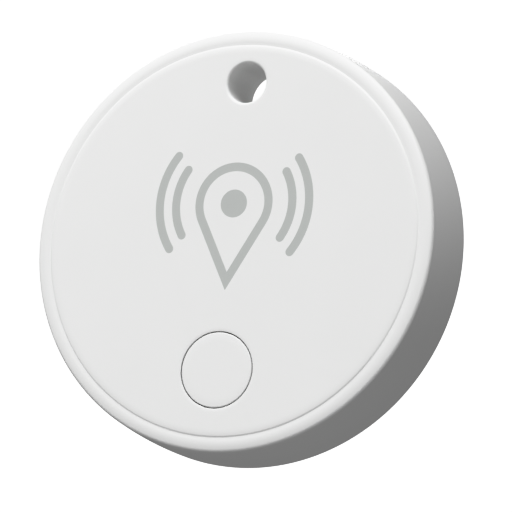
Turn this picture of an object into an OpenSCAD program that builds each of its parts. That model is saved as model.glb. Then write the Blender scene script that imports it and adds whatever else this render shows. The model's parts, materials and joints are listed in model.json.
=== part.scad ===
// Round tracker tag: a disc with a keyring hole, a press button and a coin-turned battery door.
// The tag hangs upright. +Z points up through the keyring hole, the face looks along -Y and
// the origin is the centre of the disc. Every module is drawn flat, with x to the right, y up
// and z out of the face, and hang() stands it up. All lengths are in millimetres.

/* [Case] */
// Outer diameter of the disc, at its back
tag_d = 40.4; // [40.4:0.2:43]
// How much narrower the radius is at the face than at the back
draft = 0.4; // [0.3:0.05:0.5]
// Thickness from the face to the back
tag_t = 7.6; // [7.6:0.1:9]
// Radius of the corner between the rim of the face and the side
corner_r = 0.4; // [0.3:0.05:0.5]
// Radius of the rounded edge at the back
back_round = 0.5; // [0.2:0.1:0.6]
// Thickness of the front wall
face_wall = 1; // [0.9:0.1:1.1]
// Distance from the edge of the face in to the crease round it
groove_in = 1.4; // [1.35:0.05:1.5]
// Depth of the crease below the middle of the face
groove_depth = 0.12; // [0.08:0.01:0.16]

/* [Keyring hole] */
// Diameter of the hole
key_d = 3.8; // [3.2:0.1:3.8]
// Height of the hole above the disc's centre
key_y = 14.8; // [14.8:0.1:15]
// Radius of the hole's rounded mouth
key_round = 0.25; // [0.1:0.05:0.4]
// How much wider the hole's radius grows towards the back
key_flare = 0.75; // [0.6:0.05:0.8]

/* [Button] */
// Diameter of the well that the button sits in
button_well_d = 7.16; // [6.6:0.02:7.4]
// Gap between the button and its well
button_gap = 0.09; // [0.06:0.01:0.1]
// Distance of the button below the disc's centre
button_y = 12.2; // [12:0.1:12.3]
// How far the button travels when it is pressed
button_travel = 0.25; // [0.15:0.01:0.26]

/* [Mark] */
// Half of the width of the printed mark
mark_r = 7.9; // [6:0.1:8.5]
// Width of the mark's lines
mark_line = 0.82; // [0.5:0.02:1]
// Depth of the mark's ink below the face
mark_depth = 0.1; // [0.05:0.01:0.15]

/* [Battery door] */
// Axial travel of the door for one full turn
door_lead = 9.6; // [9:0.1:10]
// Width of the coin slot
coin_slot_w = 1.9; // [1.5:0.1:2.4]
// Length of the coin slot
coin_slot_l = 13; // [10:0.5:18]

/* [Hidden] */
$fn = 96;
through = 20;         // longer than anything it has to cut

// Levels, from the face to the back
tag_r = tag_d / 2;
face_z = tag_t / 2;
back_z = -tag_t / 2;
lid_z = face_z - face_wall;
board_top = lid_z - 1.3;
board_t = 0.6;
board_bottom = board_top - board_t;

// Case and rear cover
case_wall = 2;
cavity_r = tag_r - case_wall;
cover_t = 1;
cover_in = back_z + cover_t;
gasket_t = 0.2;
cover_seat_r = cavity_r + 0.4;
cover_r = cover_seat_r - 0.05;
spigot_w = 0.85;
spigot_z = cover_in + 1;
face_r = tag_r - draft;
groove_r = face_r - groove_in;
dip_w = 0.7;
dip_steps = 6;
crease_w = 0.1;
crown_r = 2.5;
crest_r = groove_r + 0.45;
crest_z = face_z - groove_depth * 0.8;
mark_y = 1.2;
drop_steps = 60;
arc_steps = 24;
cap_steps = 8;
cap_turn = 15;

// Keyring tube, which steps out where its hole flares
key_r = key_d / 2;
key_tube_r = key_r + 1;
key_skirt_r = key_r + 1.25;
key_step_z = back_z + 2.2;
key_flare_z = back_z + 1.8;

// Button and switch
button_r = button_well_d / 2 - button_gap;
button_edge = 0.1;
flange_r = button_r + 0.66;
flange_top = lid_z - 0.04;
flange_t = 0.26;
pad_t = 0.1;
pad_r = 1.9;
pad_z = flange_top - flange_t - pad_t;
switch_w = 3.6;
switch_floor = board_top + 0.12;
switch_top = board_top + 0.48;
dome_r = 1.3;
dome_h = 0.25;
dome_t = 0.06;
plunger_r = 0.7;
plunger_top = pad_z - 0.02;

// Battery, door and its bayonet
door_y = -2.2;
cell_r = 10;
cell_t = 3.2;
door_floor = 1;
cell_back = back_z + door_floor + 0.05;
cell_front = cell_back + cell_t;
cell_crimp = cell_front - 0.28;
cell_wall = 0.25;
skirt_r = 11.4;
skirt_in_r = 10.35;
skirt_top = back_z + 2.4;
lug_r = 12.2;
lug_t = 0.6;
lug_angle = 25;
lug_count = 3;
lug_gap = 0.15;
door_bore_r = skirt_r + 0.1;
collar_in_r = lug_r + 0.15;
ledge_out_r = collar_in_r + 0.1;    // buried in the collar, clear of the seal's groove
stop_out_r = collar_in_r + 0.06;
ramp_run = 6;
ramp_r = (door_bore_r + collar_in_r) / 2;
ramp_slope = atan(door_lead / (2 * PI * ramp_r));
stop_at = lug_angle + 1;
stop_angle = 12;
seat_z = back_z + 0.8;
seal_r = 12.8;
seal_wire = 0.3;
seal_room = 0.03;
door_seat_r = 13.42;
door_r = door_seat_r - 0.08;
collar_r = 14.2;
collar_top = back_z + 3;
coin_slot_depth = 0.5;
pad_recess_r = 7;
index_r = 0.45;
index_depth = 0.2;

// Frame that holds the battery against the board
frame_r = cavity_r - 1.3;
frame_bottom = cell_front + 0.06;
frame_top = board_bottom - 0.05;
frame_ring_in = cell_r + 0.2;
frame_ring_out = frame_ring_in + 1;
frame_ring_bottom = skirt_top + 0.3;
window_r = 6;
contact_t = 0.12;
contact_w = 3;

// Screws
screw_places = [[9, 12.4], [-9, 12.4], [13, -8.4], [-13, -8.4]];
screw_r = 0.5;
screw_head_r = 1.05;
screw_head_t = 0.45;
boss_r = 1.4;

// Buzzer
buzzer_y = 1.5;
buzzer_r = 6;
buzzer_ceramic_r = 4.5;
adhesive_t = 0.08;
brass_t = 0.15;
ceramic_t = 0.15;
brass_z = lid_z - adhesive_t - brass_t;
ceramic_z = brass_z - ceramic_t;

// ---- Shared shapes ----

module hang() rotate([90, 0, 0]) children();

module at_key() translate([0, key_y, 0]) children();

module at_button() translate([0, -button_y, 0]) children();

module at_door() translate([0, door_y, 0]) children();

module at_buzzer() translate([0, buzzer_y, 0]) children();

module each_screw() for (place = screw_places) translate([place.x, place.y, 0]) children();

// Cylinder between two levels
module disc(r, z0, z1) translate([0, 0, z0]) cylinder(r = r, h = z1 - z0);

// Ring between two radii and two levels
module ring(r_in, r_out, z0, z1) {
    difference() {
        disc(r_out, z0, z1);
        disc(r_in, z0 - 1, z1 + 1);
    }
}

// Part of a ring, from angle a0 to angle a1
module sector(r_in, r_out, z0, z1, a0, a1) {
    rotate([0, 0, a0])
        rotate_extrude(angle = a1 - a0)
            translate([r_in, z0]) square([r_out - r_in, z1 - z0]);
}

// Block centred in plan, between two levels
module block(w, d, z0, z1) translate([-w / 2, -d / 2, z0]) cube([w, d, z1 - z0]);

function polar(r, angle) = [r * cos(angle), r * sin(angle)];

// Points along an arc about a centre
function arc(centre, r, from, to, steps) =
    [for (i = [0:steps]) centre + polar(r, from + (to - from) * i / steps)];

// Half section of a disc whose upper outer edge is rounded
module rounded_section(r, z0, z1, edge) {
    translate([0, z0]) square([r, z1 - z0 - edge]);
    translate([0, z0]) square([r - edge, z1 - z0]);
    translate([r - edge, z1 - edge]) circle(edge);
}

// ---- Case ----

// The face bends down to a narrow crease
function dip() = [for (i = [0:dip_steps])
    [groove_r - crease_w - dip_w * (1 - i / dip_steps),
     face_z - groove_depth * 0.4 * pow(i / dip_steps, 2.6)]];

// Rounded rim outside the crease, as far as the corner
function crown(from, to) = arc([crest_r, crest_z - crown_r], crown_r, from, to, arc_steps);

// The face dips to a crease inside a rounded rim, and the side swells towards the back
module case_section() {
    crown_end = 90 - asin((face_r - corner_r - crest_r) / (crown_r - corner_r));
    corner = [crest_r, crest_z - crown_r] + polar(crown_r - corner_r, crown_end);
    side_z = back_z + back_round;
    side_h = corner.y - side_z;
    side_r = (side_h * side_h + draft * draft) / (2 * draft);
    lean = 2 * atan(draft / side_h);
    polygon(concat(
        dip(),
        [[groove_r, face_z - groove_depth]],
        crown(95, crown_end),
        arc(corner, corner_r, crown_end - 6, lean, cap_steps),
        arc([tag_r - side_r, side_z], side_r, lean, 0, cap_steps),
        arc([tag_r - back_round, side_z], back_round, -10, -90, cap_steps),
        [[0, back_z], [0, face_z]]
    ));
}

// Hole with a rounded mouth in the face, flaring towards the back
module key_section() {
    translate([0, back_z - 1]) square([key_r, tag_t + 2]);
    polygon([[0, key_flare_z], [key_r, key_flare_z], [key_r + key_flare, back_z], [0, back_z]]);
    translate([0, back_z - 1]) square([key_r + key_flare, 1]);
    difference() {
        translate([0, face_z - key_round]) square([key_r + key_round, key_round + 1]);
        translate([key_r + key_round, face_z - key_round]) circle(key_round);
    }
}

module case_hollow() {
    disc(cavity_r, back_z - 1, lid_z);
    disc(cover_seat_r, back_z - 1, cover_in + gasket_t);
}

module front_shell() {
    color("white") hang() difference() {
        union() {
            difference() {
                rotate_extrude() case_section();
                case_hollow();
            }
            at_key() {
                disc(key_tube_r, back_z, lid_z + face_wall / 2);
                disc(key_skirt_r, back_z, key_step_z);
            }
            each_screw() disc(boss_r, board_top, lid_z + face_wall / 2);
        }
        at_key() rotate_extrude() key_section();
        at_button() disc(button_well_d / 2, lid_z - 1, face_z + 1);
        each_screw() disc(screw_r, board_top - 1, lid_z);
        translate([0, 0, face_z - mark_depth]) linear_extrude(1) mark_outline();
    }
}

// Drop shape: a round head whose two tangents meet in a point below it
module drop(r, length) {
    lean = acos(r / length);
    step = (360 - 2 * lean) / drop_steps;
    polygon(concat(
        [for (i = [0:drop_steps]) r * [sin(lean + step * i), -cos(lean + step * i)]],
        [[0, -length]]
    ));
}

// Outline of a curved line with round ends, centred on the +x direction
function curved_line(r, half) = concat(
    arc([0, 0], r + mark_line / 2, -half, half, arc_steps),
    arc(polar(r, half), mark_line / 2, half + cap_turn, half + 180 - cap_turn, cap_steps),
    arc([0, 0], r - mark_line / 2, half, -half, arc_steps),
    arc(polar(r, -half), mark_line / 2, 180 - half + cap_turn, 360 - half - cap_turn, cap_steps)
);

// The same curved line on both sides
module side_arcs(r, half) {
    for (side = [0, 180]) rotate(side) polygon(curved_line(r, half));
}

// A map pin between two pairs of signal arcs
module mark_outline() {
    pin_r = mark_r * 0.49;
    pin_length = mark_r * 1.03;
    shrink = (pin_r - mark_line) / pin_r;
    translate([0, mark_y + (pin_length - pin_r) / 2]) {
        difference() {
            drop(pin_r, pin_length);
            drop(pin_r * shrink, pin_length * shrink);
        }
        circle(pin_r * 0.34);
        side_arcs(mark_r - mark_line / 2, 36);
        side_arcs(mark_r * 0.79 - mark_line / 2, 32);
    }
}

module face_mark() {
    color([0.72, 0.73, 0.72]) hang()
        translate([0, 0, face_z - mark_depth]) linear_extrude(mark_depth) mark_outline();
}

// ---- Back of the case ----

// Everything below the plane of one lug's ramp, or below it by a gap. The ramp climbs in the
// direction that closes the door.
module below_ramp(gap = 0) {
    middle = (stop_at - ramp_run) / 2;
    middle_z = skirt_top - lug_t - door_lead * (lug_angle - middle) / 360;
    rotate([0, 0, middle]) translate([ramp_r, 0, middle_z - gap]) rotate([ramp_slope, 0, 0])
        translate([-ramp_r, -through, -through]) cube([2 * ramp_r, 2 * through, through]);
}

// Ledge that one lug slides down as the door turns out, and the stop at its upper end
module ledge() {
    intersection() {
        sector(door_bore_r, ledge_out_r, seat_z + 0.05, skirt_top, -ramp_run, stop_at + 2);
        below_ramp(lug_gap);
    }
    sector(door_bore_r + 0.05, stop_out_r, seat_z + 0.1, collar_top,
           stop_at, stop_at + stop_angle);
}

// Lug with a sloping underside
module lug() {
    difference() {
        sector(skirt_r - 0.3, lug_r, seat_z + 0.1, skirt_top, 0, lug_angle);
        below_ramp();
    }
}

// Groove that half buries the sealing ring
module seal_groove() {
    rotate_extrude() translate([seal_r, seat_z]) circle(seal_wire + seal_room);
}

module rear_cover() {
    color("whitesmoke") hang() {
        difference() {
            union() {
                disc(cover_r, back_z, cover_in);
                ring(cavity_r - 0.05 - spigot_w, cavity_r - 0.05, back_z + cover_t / 2, spigot_z);
                at_door() disc(collar_r, back_z + cover_t / 2, collar_top);
            }
            at_key() disc(key_skirt_r + 0.05, back_z - 1, through);
            at_door() {
                disc(collar_in_r, back_z - 1, through);
                disc(door_seat_r, back_z - 1, seat_z);
                seal_groove();
                for (side = [-1, 1])
                    translate([side * 0.9, door_seat_r + 1.4, 0])
                        disc(index_r, back_z - 1, back_z + index_depth);
            }
        }
        at_door()
            for (i = [0:lug_count - 1]) rotate([0, 0, i * 360 / lug_count]) ledge();
    }
}

module cover_gasket() {
    color("dimgray") hang()
        ring(cavity_r + 0.02, cover_r, cover_in, cover_in + gasket_t);
}

module coin_slot_section() {
    end_x = (coin_slot_l - coin_slot_w) / 2;
    square([2 * end_x, coin_slot_w], center = true);
    for (side = [-1, 1]) translate([side * end_x, 0]) circle(coin_slot_w / 2);
}

module battery_door() {
    color("whitesmoke") hang() at_door() {
        difference() {
            union() {
                disc(door_r, back_z, seat_z - 0.02);
                disc(skirt_r, seat_z - 0.1, skirt_top);
                for (i = [0:lug_count - 1]) rotate([0, 0, i * 360 / lug_count]) lug();
            }
            disc(skirt_in_r, back_z + door_floor, through);
            disc(pad_recess_r, back_z + door_floor - 0.2, through);
            seal_groove();
            translate([0, 0, back_z - 1]) linear_extrude(1 + coin_slot_depth) coin_slot_section();
            translate([0, door_r - 1.6, 0])
                disc(index_r, back_z - 1, back_z + index_depth);
        }
    }
}

// Foam disc that keeps the battery from rattling
module door_pad() {
    color("darkslategray") hang() at_door()
        disc(pad_recess_r - 0.1, back_z + door_floor - 0.2, cell_back - 0.02);
}

module door_seal() {
    color("orangered") hang() at_door()
        rotate_extrude() translate([seal_r, seat_z]) circle(seal_wire);
}

// ---- Button and its switch ----

module button_cap() {
    color("white") hang() at_button() {
        rotate_extrude() rounded_section(button_r, flange_top - 0.1, face_z, button_edge);
        disc(flange_r, flange_top - flange_t, flange_top);
    }
}

module button_pad() {
    color("gainsboro") hang() at_button()
        disc(pad_r, pad_z, flange_top - flange_t);
}

module switch_base() {
    color("dimgray") hang() at_button() difference() {
        block(switch_w, switch_w, board_top, switch_top);
        disc(dome_r + 0.12, switch_floor, through);
    }
}

// Thin metal dome that snaps over when it is pressed
module switch_dome() {
    ball_r = (dome_r * dome_r + dome_h * dome_h) / (2 * dome_h);
    color("silver") hang() at_button() intersection() {
        disc(dome_r, switch_floor, switch_floor + dome_h + 1);
        translate([0, 0, switch_floor + dome_h - ball_r]) difference() {
            sphere(ball_r);
            sphere(ball_r - dome_t);
        }
    }
}

module switch_plunger() {
    color("ivory") hang() at_button() {
        disc(dome_r - 0.1, switch_floor + dome_h + 0.01, switch_top - 0.02);
        disc(plunger_r, switch_floor + dome_h + 0.01, plunger_top);
    }
}

module switch_cover() {
    color("silver") hang() at_button() difference() {
        block(switch_w, switch_w, switch_top, switch_top + 0.1);
        disc(plunger_r + 0.1, switch_top - 1, through);
    }
}

// ---- Circuit board ----

module circuit_board() {
    color("darkgreen") hang() difference() {
        disc(cavity_r - 0.6, board_bottom, board_top);
        at_key() disc(key_tube_r + 0.4, board_bottom - 1, through);
        each_screw() disc(screw_r + 0.12, board_bottom - 1, through);
    }
}

module bluetooth_chip() {
    color("black") hang() translate([7.6, 5.6, 0]) block(6, 6, board_top, board_top + 0.75);
}

// Metal-cased crystals: width, depth, height, and place on the board
crystal_sizes = [[2, 1.6, 0.5], [3.2, 1.5, 0.6]];
crystal_places = [[2.6, 9.2], [12.8, 2.6]];

module crystals() {
    color("silver") hang()
        for (i = [0:len(crystal_sizes) - 1])
            translate([crystal_places[i].x, crystal_places[i].y, 0])
                block(crystal_sizes[i].x, crystal_sizes[i].y,
                      board_top, board_top + crystal_sizes[i].z);
}

module chip_antenna() {
    color("lightsteelblue") hang() translate([-13.4, 3, 0]) rotate([0, 0, 80])
        block(7, 2, board_top, board_top + 0.8);
}

// Capacitors and resistors in two rows
module passives() {
    color("tan") hang()
        for (row = [0, 1], i = [0:5])
            translate([3.6 + 1.7 * i, 0.6 - 2.4 * row, 0])
                block(0.5, 1, board_top, board_top + 0.35);
}

module buzzer_coil() {
    color("darkslategray") hang() translate([-8.6, -6, 0])
        block(3, 3, board_top, board_top + 1.1);
}

// ---- Buzzer ----

module buzzer_adhesive() {
    color("gold") hang() at_buzzer()
        ring(buzzer_r - 1.2, buzzer_r, lid_z - adhesive_t, lid_z);
}

module buzzer_plate() {
    color("goldenrod") hang() at_buzzer() disc(buzzer_r, brass_z, brass_z + brass_t);
}

module buzzer_ceramic() {
    color("lightgray") hang() at_buzzer() disc(buzzer_ceramic_r, ceramic_z, ceramic_z + ceramic_t);
}

// Folded spring finger that stands on the board and reaches up to a level
module spring_finger(reach) {
    block(2.2, 1.1, board_top, board_top + contact_t);
    translate([-1.04, 0, 0]) block(contact_t, 1.1, board_top, reach);
    block(2.2, 1.1, reach - contact_t, reach);
}

module buzzer_contacts() {
    color("gold") hang() at_buzzer() {
        translate([-1.5, 0.8, 0]) spring_finger(ceramic_z);
        translate([-6.15, 0.8, 0]) spring_finger(brass_z);
    }
}

// ---- Battery frame and contacts ----

module battery_frame() {
    color("lightgray") hang() difference() {
        union() {
            disc(frame_r, frame_bottom, frame_top);
            at_door() disc(frame_ring_out, frame_ring_bottom, frame_top);
        }
        at_door() {
            disc(frame_ring_in, frame_ring_bottom - 1, frame_bottom);
            disc(window_r, frame_bottom - 1, through);
            for (side = [0, 180]) rotate([0, 0, side])
                translate([frame_ring_in + 1.2, 0, 0])
                    block(3, contact_w + 0.6, frame_ring_bottom - 1, through);
        }
        at_key() disc(key_tube_r + 0.4, frame_bottom - 1, through);
        each_screw() disc(screw_r + 0.12, frame_bottom - 1, through);
    }
}

module frame_screws() {
    color("silver") hang() each_screw() difference() {
        union() {
            disc(screw_head_r, frame_bottom - screw_head_t, frame_bottom);
            disc(screw_r - 0.01, frame_bottom - 0.1, lid_z - 0.1);
        }
        disc(0.45, frame_bottom - screw_head_t - 1, frame_bottom - screw_head_t + 0.25, $fn = 6);
    }
}

// Leaf that presses on the side of the battery, with a foot soldered to the board
module positive_contacts() {
    foot_l = 2.4;
    color("gold") hang() at_door()
        for (side = [0, 180]) rotate([0, 0, side]) {
            translate([cell_r + 0.02 + contact_t / 2, 0, 0])
                block(contact_t, contact_w, frame_ring_bottom + 0.1, board_bottom);
            translate([cell_r + 0.02 + foot_l / 2, 0, 0])
                block(foot_l, contact_w, board_bottom - contact_t, board_bottom);
        }
}

// Two spring arms that press on the middle of the battery
module negative_contact() {
    arm_l = 4.2;
    arm_drop = board_bottom - contact_t - cell_front - 0.14;
    color("gold") hang() at_door() {
        block(4, 4, board_bottom - contact_t, board_bottom);
        for (side = [0, 180]) rotate([0, 0, side]) {
            translate([-1.5, 1, board_bottom - contact_t / 2])
                rotate([0, asin(arm_drop / arm_l), 0])
                    translate([0, -0.5, -contact_t / 2]) cube([arm_l, 1, contact_t]);
            translate([arm_l - 1.9, 1, 0])
                disc(0.35, cell_front + 0.02, cell_front + 0.26);
        }
    }
}

// ---- Coin battery ----

module cell_can() {
    color("silver") hang() at_door() difference() {
        mirror([0, 0, 1]) rotate_extrude()
            rounded_section(cell_r, -cell_crimp, -cell_back, 0.3);
        disc(cell_r - cell_wall, cell_back + cell_wall, cell_crimp - 0.2);
        disc(cell_r - 0.85, cell_back + cell_wall, through);
    }
}

module cell_gasket() {
    color("black") hang() at_door()
        ring(cell_r - 1.05, cell_r - 0.86, cell_crimp - 0.5, cell_crimp + 0.05);
}

module cell_cap() {
    color("silver") hang() at_door() difference() {
        rotate_extrude() rounded_section(cell_r - 1.06, cell_crimp - 0.5, cell_front, 0.2);
        disc(cell_r - 1.26, cell_crimp - 1, cell_front - 0.2);
    }
}

module cell_pellet() {
    color("dimgray") hang() at_door()
        disc(cell_r - 1.3, cell_back + cell_wall, cell_front - 0.22);
}

front_shell();
face_mark();
rear_cover();
cover_gasket();
button_cap();
button_pad();
switch_base();
switch_dome();
switch_plunger();
switch_cover();
circuit_board();
bluetooth_chip();
crystals();
chip_antenna();
passives();
buzzer_coil();
buzzer_adhesive();
buzzer_plate();
buzzer_ceramic();
buzzer_contacts();
battery_frame();
frame_screws();
positive_contacts();
negative_contact();
battery_door();
door_pad();
door_seal();
cell_can();
cell_gasket();
cell_cap();
cell_pellet();
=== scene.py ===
"""Looks of a round tracker tag: white satin case, press button, printed mark and battery door.

Shapes are drawn flat in millimetres, with x to the right, y up and z out of the face, and
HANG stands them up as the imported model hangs: the face looks along -Y and Z is up.
"""
import json
from math import acos, asin, atan, cos, pi, radians, sin

import bmesh
import bpy
from mathutils import Matrix, Vector

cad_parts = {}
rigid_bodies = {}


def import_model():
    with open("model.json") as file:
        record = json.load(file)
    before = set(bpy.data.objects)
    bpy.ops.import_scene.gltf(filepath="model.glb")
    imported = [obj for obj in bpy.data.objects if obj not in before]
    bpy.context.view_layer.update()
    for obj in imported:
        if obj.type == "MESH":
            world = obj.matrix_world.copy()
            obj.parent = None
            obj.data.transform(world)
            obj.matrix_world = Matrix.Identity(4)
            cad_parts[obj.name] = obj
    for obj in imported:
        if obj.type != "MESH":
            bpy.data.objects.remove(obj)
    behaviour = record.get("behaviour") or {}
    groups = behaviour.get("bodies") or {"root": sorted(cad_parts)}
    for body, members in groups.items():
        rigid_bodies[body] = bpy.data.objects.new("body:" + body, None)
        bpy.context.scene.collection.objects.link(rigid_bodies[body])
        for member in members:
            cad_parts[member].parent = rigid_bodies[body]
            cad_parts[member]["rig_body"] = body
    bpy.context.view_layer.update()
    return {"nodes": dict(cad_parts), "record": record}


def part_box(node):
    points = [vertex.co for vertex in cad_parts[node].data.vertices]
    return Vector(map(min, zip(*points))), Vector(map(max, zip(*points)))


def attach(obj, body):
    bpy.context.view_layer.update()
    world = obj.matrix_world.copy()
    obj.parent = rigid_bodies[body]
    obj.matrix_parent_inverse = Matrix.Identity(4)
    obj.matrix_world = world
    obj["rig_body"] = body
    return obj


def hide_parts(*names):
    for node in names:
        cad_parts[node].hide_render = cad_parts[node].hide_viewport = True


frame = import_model()
NODES = frame["nodes"]
RECORD = frame["record"]

# ---- Sizes, in millimetres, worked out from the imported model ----

MM = 0.001
HANG = Matrix(((MM, 0, 0, 0), (0, 0, -MM, 0), (0, MM, 0, 0), (0, 0, 0, 1)))


def flat_box(node):
    """Lowest and highest corners of a CAD node as it is drawn flat, in mm."""
    low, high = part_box(node)
    return (Vector((low.x, low.z, -high.y)) / MM, Vector((high.x, high.z, -low.y)) / MM)


def mount(name):
    """A mount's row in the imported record."""
    return next(row for row in RECORD["mounts"] if row["name"] == name)


def middle(node):
    """Centre of a CAD node in the flat drawing, as (x, y)."""
    low, high = flat_box(node)
    return ((low.x + high.x) / 2, (low.y + high.y) / 2)


def half_width(node):
    """Half of a CAD node's width, which is its radius when it is round."""
    low, high = flat_box(node)
    return (high.x - low.x) / 2


# Disc, which is DRAFT smaller in radius at the face than at the back
TAG_R = half_width("front_shell")
FACE = flat_box("front_shell")[1].z
BACK = flat_box("front_shell")[0].z
BACK_ROUND = 0.5
DRAFT = 0.4
FACE_R = TAG_R - DRAFT
CORNER = 0.4

# Rim: the face dips to a share of the groove's depth, drops into a crease, and crowns outside it
GROOVE_R = FACE_R - 1.4
GROOVE_DEPTH = 0.12
DIP_W = 0.7
DIP_SHARE = 0.4
DIP_POWER = 2.6
CREASE_W = 0.1
CREASE_FOOT = 0.02
CREASE_FOOT_RISE = 0.004
CREASE_FLOOR = 0.03
CROWN_R = 2.5
CROWN_START = 95
CREST_OUT = 0.45
CREST_SHARE = 0.8
CREST = (GROOVE_R + CREST_OUT, FACE - GROOVE_DEPTH * CREST_SHARE)

# Inside: the lid's level, the ledge that the gasket lies on, and the cavity's wall
LID = flat_box("buzzer_adhesive")[1].z
GASKET_TOP = flat_box("cover_gasket")[1].z
GASKET_GAP = 0.05
LEDGE_W = 0.4
SEAT_R = half_width("cover_gasket") + GASKET_GAP
CAVITY_R = SEAT_R - LEDGE_W

# Keyring hole: rounded at the face, flared towards the back, in a tube with a thicker skirt
KEY = (mount("keyring_hole")["pos_m"][0] / MM, mount("keyring_hole")["pos_m"][2] / MM)
KEY_R = mount("keyring_hole")["dims"]["r_mm"]
KEY_ROUND = 0.25
KEY_FLARE = 0.75
KEY_FLARE_Z = BACK + 1.8
KEY_EASE_UP, KEY_EASE_DOWN, KEY_EASE_OUT = 0.05, 0.04, 0.015
KEY_LIP_UP, KEY_LIP_IN, KEY_LIP_OUT = 0.06, 0.03, 0.04
KEY_TUBE_R = KEY_R + 1
KEY_SKIRT_R = KEY_R + 1.25
KEY_STEP_Z = BACK + 2.2

# Button: a cap on a wider flange, with a hair-thin gap round it in its well
BUTTON = middle("button_cap")
BUTTON_FLANGE_R = half_width("button_cap")
BUTTON_FLANGE_W = 0.66
BUTTON_FLANGE_T = 0.26
BUTTON_R = BUTTON_FLANGE_R - BUTTON_FLANGE_W
BUTTON_BASE = flat_box("button_cap")[0].z
BUTTON_EDGE = 0.1
BUTTON_GAP = 0.09
WELL_R = BUTTON_R + BUTTON_GAP
WELL_EDGE = 0.05

# Flat rings kept at a hole's mouth and at the button's edge, so that their rounds shade cleanly
MOUTH_RING = 0.3
CAP_RING = 0.8

# Screw bosses
SCREW_R = 0.5
BOSS_R = 1.4
BOSS_END = flat_box("circuit_board")[1].z
SCREWS = ((9, 12.4), (-9, 12.4), (13, -8.4), (-13, -8.4))

# Printed mark: a map pin with a dot, and arcs on each side as (radius, half of their angle)
MARK_LOW, MARK_HIGH = flat_box("face_mark")
MARK_R = (MARK_HIGH.x - MARK_LOW.x) / 2
MARK_LINE = 0.82
PIN_R = MARK_R * 0.49
PIN_L = MARK_R * 1.03
PIN_DOT_R = PIN_R * 0.34
SIGNALS = ((MARK_R - MARK_LINE / 2, 36), (MARK_R * 0.79 - MARK_LINE / 2, 32))
MARK_AT = (0, MARK_LOW.y + PIN_L)

# Steps round the disc, its holes and its bosses, and along each kind of curve
RIM_STEPS = 288
HOLE_STEPS = 96
BOSS_STEPS = 32
DIP_STEPS = 12
CROWN_STEPS = 24
CORNER_STEPS = 14
SIDE_STEPS = 16
ROUND_STEPS = 8
CAP_STEPS = 6
FINE_STEPS = 3


# ---- Outlines ----

def polar(r, degrees):
    """Point at a radius and an angle."""
    return (r * cos(radians(degrees)), r * sin(radians(degrees)))


def arc(centre, r, start, end, steps):
    """Points along an arc, both ends included."""
    points = [polar(r, start + (end - start) * i / steps) for i in range(steps + 1)]
    return [(centre[0] + x, centre[1] + y) for x, y in points]


def moved(points, by):
    """The same points, shifted."""
    return [(x + by[0], y + by[1]) for x, y in points]


def drop(r, length):
    """Map pin: a round head whose two tangents meet in a point below it."""
    lean = acos(r / length) * 180 / pi
    return arc((0, 0), r, lean - 90, 270 - lean, 60) + [(0, -length)]


def curved_line(r, half, turn):
    """Curved line with round ends, centred on an angle."""
    outer = arc((0, 0), r + MARK_LINE / 2, turn - half, turn + half, 24)
    inner = arc((0, 0), r - MARK_LINE / 2, turn + half, turn - half, 24)
    left, right = polar(r, turn + half), polar(r, turn - half)
    cap = arc(left, MARK_LINE / 2, turn + half + 15, turn + half + 165, 8)
    other_cap = arc(right, MARK_LINE / 2, turn - half + 195, turn - half + 345, 8)
    return outer + cap + inner + other_cap


def mark_outlines():
    """Each patch of the printed mark, as its outer outline and the outline of its hole."""
    shrink = (PIN_R - MARK_LINE) / PIN_R
    patches = [
        [drop(PIN_R, PIN_L), drop(PIN_R * shrink, PIN_L * shrink)],
        [arc((0, 0), PIN_DOT_R, 0, 355, 71)],
    ]
    for r, half in SIGNALS:
        patches += [[curved_line(r, half, turn)] for turn in (0, 180)]
    return [[moved(outline, MARK_AT) for outline in patch] for patch in patches]


# ---- Mesh making ----

def loop(bm, outline, z):
    """Vertices along an outline, at one level."""
    return [bm.verts.new((x, y, z)) for x, y in outline]


def ring(bm, r, z, centre=(0, 0), steps=RIM_STEPS):
    """Vertices round a circle, or a single one where the radius is zero."""
    if r == 0:
        return loop(bm, [centre], z)
    return loop(bm, moved([polar(r, 360 * i / steps) for i in range(steps)], centre), z)


def skin(bm, a, b):
    """Faces between two rings of the same count, or between a ring and its pole."""
    for i in range(max(len(a), len(b))):
        j = (i + 1) % max(len(a), len(b))
        corners = [a[i % len(a)], a[j % len(a)], b[j % len(b)], b[i % len(b)]]
        bm.faces.new(list(dict.fromkeys(corners)))


def lathe(bm, profile, centre=(0, 0), steps=RIM_STEPS):
    """Skin through rings at each (radius, level) of a profile; returns its two end rings."""
    rings = [ring(bm, r, z, centre, steps) for r, z in profile]
    for a, b in zip(rings, rings[1:]):
        skin(bm, a, b)
    return rings[0], rings[-1]


def plate(bm, *loops):
    """Flat fill inside the first loop and outside the others."""
    edges = []
    for verts in loops:
        for a, b in zip(verts, verts[1:] + verts[:1]):
            edges.append(bm.edges.get((a, b)) or bm.edges.new((a, b)))
    bmesh.ops.triangle_fill(bm, use_beauty=True, use_dissolve=False, edges=edges)


def piece(name, bm, crease=32):
    """Object made from a mesh drawn flat: hung up, smooth, and sharp only at its creases."""
    bmesh.ops.recalc_face_normals(bm, faces=bm.faces)
    bm.transform(HANG)
    mesh = bpy.data.meshes.new(name)
    bm.to_mesh(mesh)
    bm.free()
    mesh.shade_smooth()
    mesh.set_sharp_from_angle(angle=radians(crease))
    obj = bpy.data.objects.new(name, mesh)
    bpy.context.scene.collection.objects.link(obj)
    obj.modifiers.new("flats stay flat", "WEIGHTED_NORMAL").keep_sharp = True
    return obj


# ---- Materials ----

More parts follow.
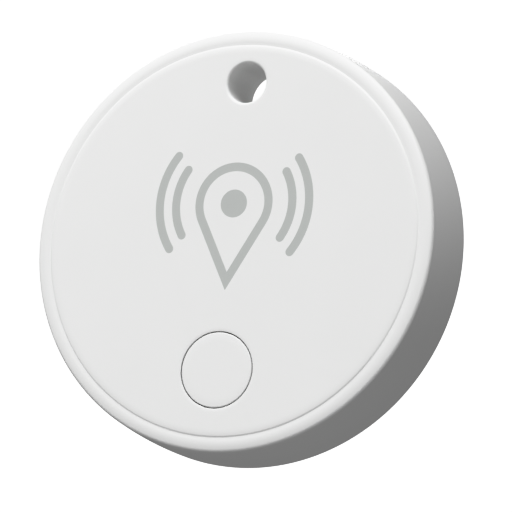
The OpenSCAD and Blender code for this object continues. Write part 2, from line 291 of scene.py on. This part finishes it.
class Finish:
    """A Principled material whose nodes are added one call at a time."""

    def __init__(self, name, colour, rough, metallic=0.0, ior=1.5):
        self.material = bpy.data.materials.new(name)
        self.material.use_nodes = True
        self.tree = self.material.node_tree
        self.shader = self.tree.nodes["Principled BSDF"]
        self.set("Base Color", (*colour, 1))
        self.set("Roughness", rough)
        self.set("Metallic", metallic)
        self.set("IOR", ior)
        self.coords = self.add("ShaderNodeTexCoord").outputs["Object"]
        self.height = None

    def set(self, name, value):
        """Sets one of the shader's own sockets to a value, or links it."""
        self.plug(self.shader.inputs[name], value)

    def plug(self, socket, value):
        """Links a socket to another node's output, or sets it to a plain value."""
        if isinstance(value, bpy.types.NodeSocket):
            self.tree.links.new(value, socket)
        else:
            socket.default_value = value

    def add(self, kind, inputs=None, **settings):
        """Adds a node; inputs are keyed by socket name or index."""
        node = self.tree.nodes.new(kind)
        for key, value in settings.items():
            setattr(node, key, value)
        for key, value in (inputs or {}).items():
            self.plug(node.inputs[key], value)
        return node

    def noise(self, size, detail=3.0, stretch=(1, 1, 1), rough=0.5):
        """Noise whose grains are about size mm across, stretched along an axis if asked."""
        scaled = self.add("ShaderNodeVectorMath", {0: self.coords, 1: stretch}, operation="MULTIPLY")
        inputs = {"Vector": scaled.outputs[0], "Scale": 1 / (size * MM), "Detail": detail,
                  "Roughness": rough}
        return self.add("ShaderNodeTexNoise", inputs).outputs["Fac"]

    def remap(self, value, low, high, to_low, to_high):
        """A value carried from one range to another, and held at its ends."""
        inputs = {"Value": value, "From Min": low, "From Max": high, "To Min": to_low,
                  "To Max": to_high}
        return self.add("ShaderNodeMapRange", inputs).outputs["Result"]

    def maths(self, operation, a, b, c=0.0):
        """Result of one maths operation."""
        return self.add("ShaderNodeMath", {0: a, 1: b, 2: c}, operation=operation).outputs[0]

    def painted_shade_mask(self, reach, closed=0.3, clear=0.9):
        """Painted-shade share from occlusion: 0 where a spot is clear, 1 where closed in, within a
        reach in mm.
        """
        node = self.add("ShaderNodeAmbientOcclusion", {"Distance": reach * MM}, samples=6)
        return self.remap(node.outputs["AO"], closed, clear, 1, 0)

    def edge(self):
        """Share that rises to 1 on edges that stand out."""
        node = self.add("ShaderNodeNewGeometry")
        return self.remap(node.outputs["Pointiness"], 0.52, 0.6, 0, 1)

    def tint(self, share, a, b):
        """Colour between a and b, each a triple or another node's colour."""
        pair = {key: (*colour, 1) if isinstance(colour, (tuple, list)) else colour
                for key, colour in ((6, a), (7, b))}
        return self.add("ShaderNodeMix", {0: share, **pair}, data_type="RGBA").outputs[2]

    def bump(self, height, depth):
        """Adds relief of a depth in mm to the surface."""
        inputs = {"Height": height, "Distance": depth * MM}
        if self.height is not None:
            inputs["Normal"] = self.height
        self.height = self.add("ShaderNodeBump", inputs).outputs["Normal"]
        self.set("Normal", self.height)


def shade(colour, by):
    """The same colour, lighter or darker."""
    return tuple(c * by for c in colour)


def moulded(name, colour, rough=0.44, grain=0.12, relief=0.0025):
    """Moulded plastic: fine grain, faint flow marks, painted shade in corners and deep in holes, and
    worn edges.
    """
    finish = Finish(name, colour, rough, ior=1.48)
    flow = finish.noise(7, detail=2)
    scuffs = finish.remap(finish.noise(0.8, detail=5, stretch=(1, 1, 3)), 0.6, 0.72, 0, 0.05)
    body = finish.tint(flow, shade(colour, 0.985), colour)
    # painted shade: the colour darkens to 0.8 in corners and creases, where nearby surfaces within
    # 0.5 mm close a spot in
    painted_corner_shade = finish.tint(finish.maths("MULTIPLY", finish.painted_shade_mask(0.5), 0.6), body, shade(colour, 0.8))
    # painted shade: deep inside holes and slots, within 4 mm, the colour falls towards a third of
    # its own
    painted_hole_shade = finish.maths("MULTIPLY", finish.painted_shade_mask(4, 0.1, 0.5), 0.8)
    finish.set("Base Color", finish.tint(painted_hole_shade, painted_corner_shade, shade(colour, 0.35)))
    patchy = finish.remap(flow, 0.3, 0.7, rough - 0.03, rough + 0.03)
    worn = finish.maths("MULTIPLY_ADD", finish.edge(), -0.08, scuffs)
    finish.set("Roughness", finish.maths("ADD", patchy, worn))
    finish.bump(finish.noise(grain, detail=2), relief)
    finish.bump(flow, 0.01)
    return finish.material


def ink(name, colour):
    """Matt pad print: a dense film with pinholes and a slightly uneven tone."""
    finish = Finish(name, colour, 0.6)
    tone = finish.noise(1.5, detail=4)
    pinholes = finish.remap(finish.noise(0.09, detail=1), 0.68, 0.74, 0, 0.25)
    film = finish.tint(tone, shade(colour, 0.98), shade(colour, 1.02))
    finish.set("Base Color", finish.tint(pinholes, film, shade(colour, 1.3)))
    finish.set("Roughness", finish.remap(tone, 0.3, 0.7, 0.55, 0.65))
    finish.bump(finish.noise(0.15, detail=2), 0.0015)
    return finish.material


def rubber(name, colour, rough=0.62):
    """Silicone or rubber: dull, dusty and finely pitted."""
    finish = Finish(name, colour, rough)
    pits = finish.noise(0.1, detail=4)
    dust = finish.remap(finish.noise(0.5, detail=6), 0.45, 0.75, 0, 0.35)
    finish.set("Base Color", finish.tint(dust, colour, [c * 0.8 + 0.08 for c in colour]))
    finish.set("Roughness", finish.remap(pits, 0.3, 0.7, rough - 0.08, rough + 0.1))
    finish.bump(pits, 0.008)
    return finish.material


def foam(name, colour):
    """Closed-cell foam: small round cells, each a dent."""
    finish = Finish(name, colour, 0.85)
    cells = finish.add("ShaderNodeTexVoronoi", {"Vector": finish.coords, "Scale": 1 / (0.22 * MM)})
    depth = finish.remap(cells.outputs["Distance"], 0, 0.6, 0, 1)
    finish.set("Base Color", finish.tint(depth, shade(colour, 1.6), shade(colour, 0.7)))
    finish.set("Roughness", finish.remap(depth, 0, 1, 0.8, 0.95))
    finish.bump(depth, 0.05)
    return finish.material


def metal(name, colour, rough=0.26, stretch=(1, 1, 14), relief=0.0015):
    """Rolled or plated metal: fine brushing, smudges, painted shade in corners and bright edges."""
    finish = Finish(name, colour, rough, metallic=1.0)
    brushed = finish.noise(0.25, detail=5, stretch=stretch)
    smudge = finish.noise(2.5, detail=3)
    plate_tone = finish.tint(smudge, shade(colour, 0.9), shade(colour, 1.04))
    # painted shade: the plating's colour darkens to 0.45 in corners, where nearby surfaces within
    # 0.4 mm close it in
    finish.set("Base Color", finish.tint(finish.painted_shade_mask(0.4), plate_tone, shade(colour, 0.45)))
    streaks = finish.remap(brushed, 0.3, 0.7, rough - 0.07, rough + 0.09)
    smeared = finish.maths("MULTIPLY_ADD", smudge, 0.12, streaks)
    finish.set("Roughness", finish.maths("MULTIPLY_ADD", finish.edge(), -0.06, smeared))
    finish.bump(brushed, relief)
    return finish.material


def sintered(name, colour, rough=0.5, speck=1.25):
    """Fired ceramic or pressed powder: speckled grains with a dry surface."""
    finish = Finish(name, colour, rough)
    grains = finish.noise(0.07, detail=4, rough=0.7)
    finish.set("Base Color", finish.tint(finish.remap(grains, 0.4, 0.65, 0, 1),
                                         shade(colour, 0.85), shade(colour, speck)))
    finish.set("Roughness", finish.remap(grains, 0.3, 0.7, rough - 0.1, rough + 0.12))
    finish.bump(grains, 0.004)
    return finish.material


def solder_mask(name, colour):
    """Circuit board: glossy mask over a faint glass weave, with dusty edges."""
    finish = Finish(name, colour, 0.3)
    wave = {"Vector": finish.coords, "Scale": 1 / (0.9 * MM), "Distortion": 0.6}
    weave = [finish.add("ShaderNodeTexWave", wave, bands_direction=axis).outputs["Fac"]
             for axis in "XZ"]
    cloth = finish.maths("MULTIPLY", *weave)
    finish.set("Base Color", finish.tint(finish.remap(cloth, 0, 1, 0, 0.5),
                                         colour, shade(colour, 1.5)))
    finish.set("Roughness", finish.remap(finish.noise(1.2, detail=4), 0.3, 0.7, 0.22, 0.42))
    finish.bump(cloth, 0.006)
    return finish.material


def finishes():
    """Material for each slot of the record."""
    shell = (0.84, 0.842, 0.838)
    back = (0.82, 0.823, 0.82)
    return {
        "white_shell": moulded("white shell", shell),
        "white_back": moulded("white back", back, rough=0.4, grain=0.2, relief=0.005),
        "white_button": moulded("white button", shell, rough=0.42),
        "grey_ink": ink("grey ink", (0.475, 0.492, 0.48)),
        "frame_plastic": moulded("grey frame plastic", (0.5, 0.52, 0.53), rough=0.5),
        "switch_plastic": moulded("black switch plastic", (0.03, 0.03, 0.033), rough=0.5),
        "actuator_plastic": moulded("ivory plastic", (0.72, 0.67, 0.55), rough=0.38),
        "chip_black": moulded("chip epoxy", (0.018, 0.018, 0.02), rough=0.6, relief=0.006),
        "board_green": solder_mask("solder mask", (0.012, 0.11, 0.05)),
        "ceramic_white": sintered("white ceramic", (0.72, 0.75, 0.78), speck=1.08),
        "ceramic_tan": sintered("tan ceramic", (0.42, 0.3, 0.19), rough=0.35),
        "ferrite": sintered("ferrite", (0.07, 0.07, 0.078), rough=0.55),
        "brass": metal("rolled brass", (0.78, 0.58, 0.25), rough=0.3),
        "spring_gold": metal("gold plating", (0.95, 0.72, 0.34), rough=0.22),
        "steel": metal("nickel plating", (0.66, 0.65, 0.63)),
        "seal_rubber": rubber("grey silicone", (0.3, 0.31, 0.32)),
        "black_rubber": rubber("black rubber", (0.025, 0.025, 0.026)),
        "foam": foam("closed-cell foam", (0.06, 0.06, 0.065)),
        "adhesive": rubber("transfer adhesive", (0.62, 0.52, 0.3), rough=0.4),
        "cell_mix": sintered("pressed powder", (0.05, 0.05, 0.052), rough=0.7),
    }


MATERIALS = finishes()
SLOTS = {row["node"]: row["material_slot"] for row in RECORD["subparts"]}


def adopt(obj, node):
    """The piece moves with a CAD node's body, stands for it and takes its slot and finish."""
    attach(obj, NODES[node]["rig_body"])
    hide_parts(node)
    obj.data.materials.append(MATERIALS[SLOTS[node]])


def dress(node, edge=0.04, corner=34):
    """A CAD node kept as it is, with its finish, rounded edges and clean shading."""
    obj = NODES[node]
    mesh = obj.data
    mesh.materials.clear()
    mesh.materials.append(MATERIALS[SLOTS[node]])
    if "custom_normal" in mesh.attributes:
        mesh.attributes.remove(mesh.attributes["custom_normal"])
    weld = obj.modifiers.new("weld", "WELD")
    weld.merge_threshold = 0.0005 * MM
    flats = obj.modifiers.new("merge flats", "DECIMATE")
    flats.decimate_type = "DISSOLVE"
    flats.angle_limit = radians(0.5)
    if edge:
        bevel = obj.modifiers.new("round edges", "BEVEL")
        bevel.width = edge * MM
        bevel.segments = 3
        bevel.limit_method = "ANGLE"
        bevel.angle_limit = radians(corner)
    mesh.shade_smooth()
    obj.modifiers.new("flats stay flat", "WEIGHTED_NORMAL").keep_sharp = True


# ---- Case ----

def face_rim():
    """Section of the face's rim, as far as the crest: it dips to a narrow crease."""
    inner, depth = GROOVE_R - CREASE_W, FACE - GROOVE_DEPTH
    shares = [i / DIP_STEPS for i in range(DIP_STEPS + 1)]
    dip = [(inner - DIP_W * (1 - along), FACE - GROOVE_DEPTH * DIP_SHARE * along ** DIP_POWER)
           for along in shares]
    foot = (GROOVE_R - CREASE_FOOT, depth + CREASE_FOOT_RISE)
    return dip + [foot, (GROOVE_R, depth), (GROOVE_R + CREASE_FLOOR, depth)]


def shell_profile():
    """Section of the case, from the edge of the flat face round to the lid inside."""
    crown_at = (CREST[0], CREST[1] - CROWN_R)
    crown_end = 90 - asin((FACE_R - CORNER - CREST[0]) / (CROWN_R - CORNER)) * 180 / pi
    out, up = polar(CROWN_R - CORNER, crown_end)
    corner_at = (crown_at[0] + out, crown_at[1] + up)
    side_z = BACK + BACK_ROUND
    side_h = corner_at[1] - side_z
    side_r = (side_h ** 2 + DRAFT ** 2) / (2 * DRAFT)
    lean = 2 * atan(DRAFT / side_h) * 180 / pi
    crown = arc(crown_at, CROWN_R, CROWN_START, crown_end, CROWN_STEPS)
    corner = arc(corner_at, CORNER, crown_end, lean, CORNER_STEPS)[1:]
    side = arc((TAG_R - side_r, side_z), side_r, lean, 0, SIDE_STEPS)
    back = arc((TAG_R - BACK_ROUND, side_z), BACK_ROUND, 0, -90, ROUND_STEPS)[1:]
    lip = arc((SEAT_R + WELL_EDGE, BACK + WELL_EDGE), WELL_EDGE, 270, 180, FINE_STEPS)
    inside = [(SEAT_R, GASKET_TOP), (CAVITY_R, GASKET_TOP), (CAVITY_R, LID)]
    return face_rim() + crown + corner + side + back + lip + inside


def key_profile():
    """Section of the keyring hole and its tube, from the face through to the lid."""
    mouth = arc((KEY_R + KEY_ROUND, FACE - KEY_ROUND), KEY_ROUND, 90, 180, ROUND_STEPS)
    lip = KEY_R + KEY_FLARE
    flare = [(KEY_R, KEY_FLARE_Z + KEY_EASE_UP), (KEY_R + KEY_EASE_OUT, KEY_FLARE_Z - KEY_EASE_DOWN),
             (lip - KEY_LIP_IN, BACK + KEY_LIP_UP), (lip + KEY_LIP_OUT, BACK)]
    tube = [(KEY_SKIRT_R, BACK), (KEY_SKIRT_R, KEY_STEP_Z), (KEY_TUBE_R, KEY_STEP_Z)]
    return [(KEY_R + KEY_ROUND + MOUTH_RING, FACE)] + mouth + flare + tube + [(KEY_TUBE_R, LID)]


def well_profile():
    """Section of the button's well, from the face through to the lid."""
    mouth = arc((WELL_R + WELL_EDGE, FACE - WELL_EDGE), WELL_EDGE, 90, 180, FINE_STEPS)
    return [(WELL_R + WELL_EDGE + MOUTH_RING, FACE)] + mouth + [(WELL_R, LID)]


def recess(bm, outline, depth):
    """Straight-sided recess in the face; returns its rim and its floor's outline."""
    rim, floor = loop(bm, outline, FACE), loop(bm, outline, FACE - depth)
    skin(bm, rim, floor)
    return rim, floor


def mark_recesses(bm):
    """Recesses that the mark fills; returns the rims of its patches and of the hole in the pin."""
    depth = FACE - MARK_LOW.z
    patch_rims, hole_rims = [], []
    for patch in mark_outlines():
        rims, floors = zip(*[recess(bm, outline, depth) for outline in patch])
        plate(bm, *floors)
        patch_rims.append(rims[0])
        hole_rims += rims[1:]
    return patch_rims, hole_rims


def front_shell():
    """Case: a disc with a crease round its face, keyring tube, button well, bosses and recesses."""
    bm = bmesh.new()
    face_edge, lid_edge = lathe(bm, shell_profile())
    key_mouth, key_root = lathe(bm, key_profile(), KEY, HOLE_STEPS)
    well_mouth, well_root = lathe(bm, well_profile(), BUTTON, HOLE_STEPS)
    boss = [(BOSS_R, LID), (BOSS_R, BOSS_END), (SCREW_R, BOSS_END), (SCREW_R, LID), (0, LID)]
    boss_roots = [lathe(bm, boss, place, BOSS_STEPS)[0] for place in SCREWS]
    (pin, dot, *signals), (pin_hole,) = mark_recesses(bm)
    plate(bm, face_edge, key_mouth, well_mouth, pin, *signals)
    plate(bm, pin_hole, dot)
    plate(bm, lid_edge, key_root, well_root, *boss_roots)
    adopt(piece("case_front", bm), "front_shell")


def face_mark():
    """Printed mark, level with the face."""
    bm = bmesh.new()
    for patch in mark_outlines():
        tops = [loop(bm, outline, FACE) for outline in patch]
        bottoms = [loop(bm, outline, MARK_LOW.z) for outline in patch]
        for top, bottom in zip(tops, bottoms):
            skin(bm, top, bottom)
        plate(bm, *tops)
        plate(bm, *bottoms)
    adopt(piece("printed_mark", bm), "face_mark")


def button_cap():
    """Button: a flat cap with a softened edge, over the flange that keeps it in."""
    bm = bmesh.new()
    edge = arc((BUTTON_R - BUTTON_EDGE, FACE - BUTTON_EDGE), BUTTON_EDGE, 90, 0, CAP_STEPS)
    flange_top = BUTTON_BASE + BUTTON_FLANGE_T
    flange = [(BUTTON_R, flange_top), (BUTTON_FLANGE_R, flange_top), (BUTTON_FLANGE_R, BUTTON_BASE)]
    section = [(0, FACE), (BUTTON_R - CAP_RING, FACE)] + edge + flange + [(0, BUTTON_BASE)]
    lathe(bm, section, BUTTON, HOLE_STEPS)
    adopt(piece("press_button", bm), "button_cap")


# ---- Stage: places in metres, angles in degrees and the lens in millimetres ----

CAMERA_TURN, CAMERA_TILT, CAMERA_ROLL = 24.223, -10.032, 5.916
CAMERA_RIGHT, CAMERA_DOWN, CAMERA_BACK = 0.002379, 0.001567, 0.32146
CAMERA_LENS = 246.1

BACKDROP = 1.5
CURVE_END = (BACKDROP - 0.05, 1)
ROLL_OFF = ((0.4, 0.4), (0.8, 0.8), (0.95, 0.905), (1.1, 0.945))
AMBIENT = 0.225
AMBIENT_FRONT = AMBIENT * 1.35
AMBIENT_BEHIND = AMBIENT * 0.65

KEY_LIGHT = 3.12
NEAR_LIGHT = 0.036
NEAR_PLACE = (-0.09, -0.12, 0.09)
BACK_LIGHT = 2.4

FLOOR_LEVEL = -0.15
FLOOR_R = 3
FACE_MIDDLE = Vector((0, -FACE * MM, 0))


def plain(name, colour, rough=0.9):
    """Finish of the floor, which isn't part of the object."""
    finish = Finish(name, colour, rough)
    finish.set("Specular IOR Level", 0.1)
    return finish.material


def floor():
    """Round pale floor well below the tag, out of the lights' way."""
    bm = bmesh.new()
    bmesh.ops.create_circle(bm, cap_ends=True, segments=96, radius=FLOOR_R)
    mesh = bpy.data.meshes.new("floor")
    bm.to_mesh(mesh)
    bm.free()
    mesh.materials.append(plain("pale floor", (0.93, 0.93, 0.93)))
    obj = bpy.data.objects.new("floor", mesh)
    obj.location.z = FLOOR_LEVEL
    obj.visible_diffuse = False
    obj.visible_glossy = False
    obj.visible_shadow = False
    bpy.context.scene.collection.objects.link(obj)


def ambient(tree):
    """Background whose strength fades from in front of the tag to behind it."""
    light = tree.nodes.new("ShaderNodeBackground")
    light.inputs["Color"].default_value = (1, 1, 1, 1)
    towards = tree.nodes.new("ShaderNodeSeparateXYZ")
    tree.links.new(tree.nodes.new("ShaderNodeTexCoord").outputs["Generated"], towards.inputs[0])
    fade = tree.nodes.new("ShaderNodeMapRange")
    ends = {"From Min": -1, "From Max": 1, "To Min": AMBIENT_FRONT, "To Max": AMBIENT_BEHIND}
    for key, value in ends.items():
        fade.inputs[key].default_value = value
    tree.links.new(towards.outputs["Y"], fade.inputs["Value"])
    tree.links.new(fade.outputs["Result"], light.inputs["Strength"])
    return light


def surroundings():
    """Grey light from all round, stronger in front, and a white backdrop."""
    world = bpy.data.worlds.new("studio")
    bpy.context.scene.world = world
    world.use_nodes = True
    tree = world.node_tree
    shown = tree.nodes["Background"]
    shown.inputs["Color"].default_value = (1, 1, 1, 1)
    shown.inputs["Strength"].default_value = BACKDROP
    light = ambient(tree)
    path = tree.nodes.new("ShaderNodeLightPath")
    mix = tree.nodes.new("ShaderNodeMixShader")
    tree.links.new(path.outputs["Is Camera Ray"], mix.inputs[0])
    tree.links.new(light.outputs[0], mix.inputs[1])
    tree.links.new(shown.outputs[0], mix.inputs[2])
    tree.links.new(mix.outputs[0], tree.nodes["World Output"].inputs["Surface"])


def aim(obj, direction):
    """Turns a light or camera to look along a direction."""
    obj.rotation_euler = Vector(direction).to_track_quat("-Z", "Y").to_euler()


def lamp(name, kind, towards, place=(0, 0, 0), **settings):
    """Light that shines along a direction."""
    data = bpy.data.lights.new(name, kind)
    for key, value in settings.items():
        setattr(data, key, value)
    obj = bpy.data.objects.new(name, data)
    obj.location = place
    aim(obj, towards)
    bpy.context.scene.collection.objects.link(obj)


def lights():
    """Large soft key from above the front, a small one nearer, and a third from behind."""
    lamp("key", "SUN", (0.03, 0.6, -0.8), energy=KEY_LIGHT, angle=radians(46))
    near = FACE_MIDDLE + Vector(NEAR_PLACE)
    lamp("near key", "AREA", FACE_MIDDLE - near, near, energy=NEAR_LIGHT, shape="DISK", size=0.06)
    lamp("back key", "SUN", (0.5, -0.72, -0.48), energy=BACK_LIGHT, angle=radians(30))


def camera():
    """Long lens a little to the right and below, rolled as the tag leans."""
    turn, tilt, roll = radians(CAMERA_TURN), radians(CAMERA_TILT), radians(CAMERA_ROLL)
    forward = -Vector((sin(turn) * cos(tilt), -cos(turn) * cos(tilt), sin(tilt)))
    level = forward.cross(Vector((0, 0, 1))).normalized()
    upright = level.cross(forward)
    right = level * cos(roll) + upright * sin(roll)
    up = upright * cos(roll) - level * sin(roll)
    place = FACE_MIDDLE + right * CAMERA_RIGHT - up * CAMERA_DOWN - forward * CAMERA_BACK
    data = bpy.data.cameras.new("camera")
    data.lens = CAMERA_LENS
    data.clip_start = 0.01
    obj = bpy.data.objects.new("camera", data)
    obj.matrix_world = Matrix((right, up, -forward)).transposed().to_4x4()
    obj.location = place
    bpy.context.scene.collection.objects.link(obj)
    bpy.context.scene.camera = obj


def tone():
    """Plain colours whose highlights roll off before they reach the backdrop's white."""
    view = bpy.context.scene.view_settings
    view.view_transform = "Standard"
    view.use_curve_mapping = True
    view.curve_mapping.clip_max_x = view.curve_mapping.clip_max_y = 2
    points = view.curve_mapping.curves[3].points
    points[-1].location = CURVE_END
    for place in ROLL_OFF:
        points.new(*place)
    view.curve_mapping.update()


# ---- Build ----

camera()
surroundings()
lights()
floor()
front_shell()
face_mark()
button_cap()
MADE = ("front_shell", "face_mark", "button_cap")
for kept in NODES:
    if kept not in MADE:
        dress(kept)
tone()
